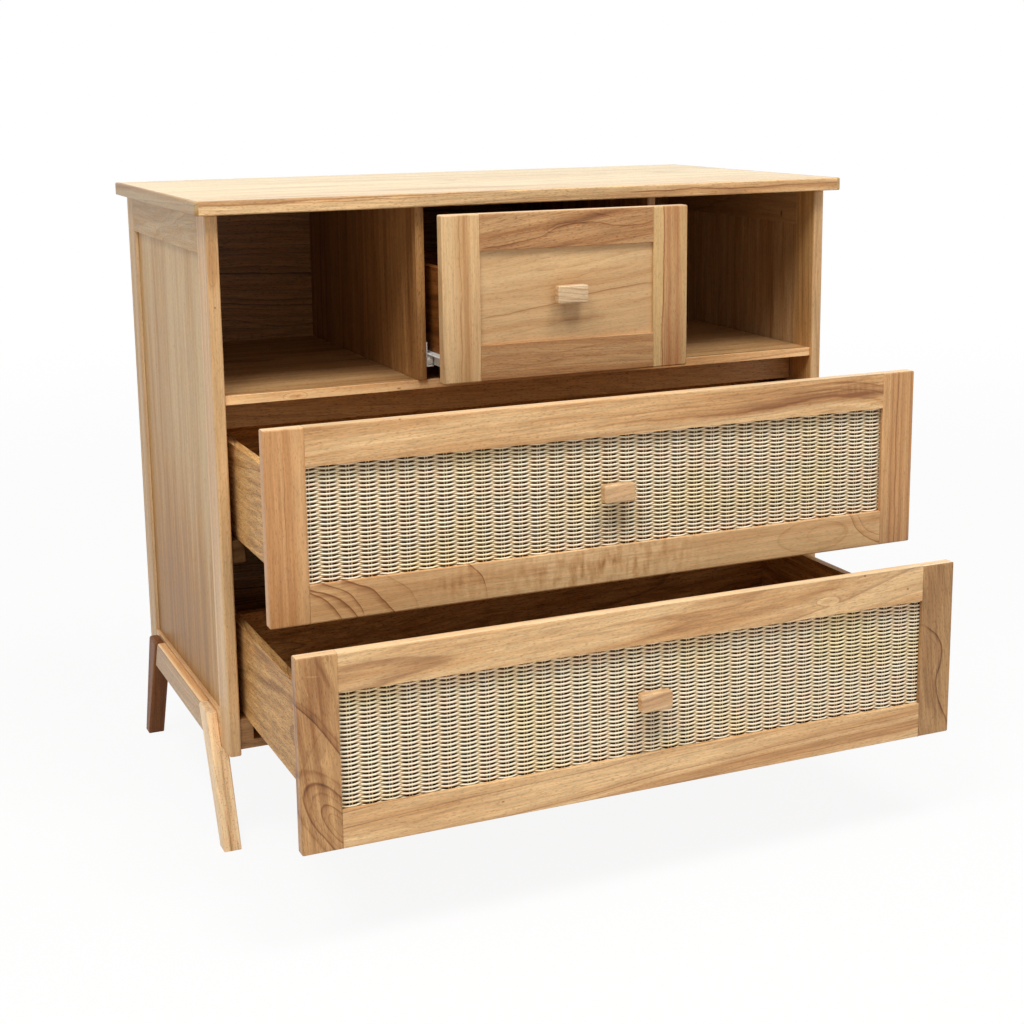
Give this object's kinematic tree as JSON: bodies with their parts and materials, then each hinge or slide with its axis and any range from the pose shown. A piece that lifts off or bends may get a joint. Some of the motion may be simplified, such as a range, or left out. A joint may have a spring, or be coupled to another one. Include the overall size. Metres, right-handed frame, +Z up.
{
  "type": "commode chest",
  "caption": "Wooden chest on splayed legs with open cubbies beside a small centre drawer and wide drawers with woven rattan fronts.",
  "frame": {"origin": "on the floor, under the middle of the box round the whole chest at rest, with its drawers open as pictured", "axes": "+X to the chest's right as seen from the front, +Y to its back, +Z up"},
  "size_m": [0.95, 0.846, 0.8682],
  "materials": {
    "frame_wood": "light honey hardwood, satin clear lacquer",
    "panel_wood": "light honey hardwood panel, satin clear lacquer",
    "inner_wood": "mid-brown hardwood board, thin clear lacquer",
    "box_wood": "pale plain wood, nearly matt",
    "woven_rattan": "plain-woven round rattan reed, matt",
    "backing_board": "dark stained thin board",
    "knob_wood": "shaped and sanded hardwood, satin clear lacquer",
    "runner_steel": "white epoxy-coated sheet steel"
  },
  "bodies": {
    "case": {"top_board": "frame_wood", "left_front_stile": "frame_wood", "left_back_stile": "frame_wood", "left_top_rail": "frame_wood", "left_bottom_rail": "frame_wood", "left_side_panel": "panel_wood", "right_front_stile": "frame_wood", "right_back_stile": "frame_wood", "right_top_rail": "frame_wood", "right_bottom_rail": "frame_wood", "right_side_panel": "panel_wood", "left_partition": "inner_wood", "right_partition": "inner_wood", "cubby_shelf": "inner_wood", "back_panel": "inner_wood", "bottom_board": "inner_wood", "left_middle_bearer": "inner_wood", "right_middle_bearer": "inner_wood", "left_cabinet_runner": "runner_steel", "right_cabinet_runner": "runner_steel", "left_front_leg": "frame_wood", "left_back_leg": "frame_wood", "left_leg_rail": "frame_wood", "right_front_leg": "frame_wood", "right_back_leg": "frame_wood", "right_leg_rail": "frame_wood"},
    "small_drawer": {"small_drawer_left_stile": "frame_wood", "small_drawer_right_stile": "frame_wood", "small_drawer_top_rail": "frame_wood", "small_drawer_bottom_rail": "frame_wood", "small_drawer_panel": "panel_wood", "small_drawer_knob": "knob_wood", "small_drawer_left_side": "box_wood", "small_drawer_right_side": "box_wood", "small_drawer_back": "box_wood", "small_drawer_base": "box_wood", "small_drawer_left_runner": "runner_steel", "small_drawer_right_runner": "runner_steel"},
    "middle_drawer": {"middle_drawer_left_stile": "frame_wood", "middle_drawer_right_stile": "frame_wood", "middle_drawer_top_rail": "frame_wood", "middle_drawer_bottom_rail": "frame_wood", "middle_drawer_woven_panel": "woven_rattan", "middle_drawer_backing": "backing_board", "middle_drawer_knob": "knob_wood", "middle_drawer_left_side": "box_wood", "middle_drawer_right_side": "box_wood", "middle_drawer_back": "box_wood", "middle_drawer_base": "box_wood"},
    "bottom_drawer": {"bottom_drawer_left_stile": "frame_wood", "bottom_drawer_right_stile": "frame_wood", "bottom_drawer_top_rail": "frame_wood", "bottom_drawer_bottom_rail": "frame_wood", "bottom_drawer_woven_panel": "woven_rattan", "bottom_drawer_backing": "backing_board", "bottom_drawer_knob": "knob_wood", "bottom_drawer_left_side": "box_wood", "bottom_drawer_right_side": "box_wood", "bottom_drawer_back": "box_wood", "bottom_drawer_base": "box_wood"}
  },
  "joints": [
    {"name": "small_drawer_slide", "type": "slide", "parent": "case", "child": "small_drawer", "axis": [0, -1, 0], "range_m": [-0.078, 0.222]},
    {"name": "middle_drawer_slide", "type": "slide", "parent": "case", "child": "middle_drawer", "axis": [0, -1, 0], "range_m": [-0.214, 0.126]},
    {"name": "bottom_drawer_slide", "type": "slide", "parent": "case", "child": "bottom_drawer", "axis": [0, -1, 0], "range_m": [-0.315, 0.025]}
  ]
}
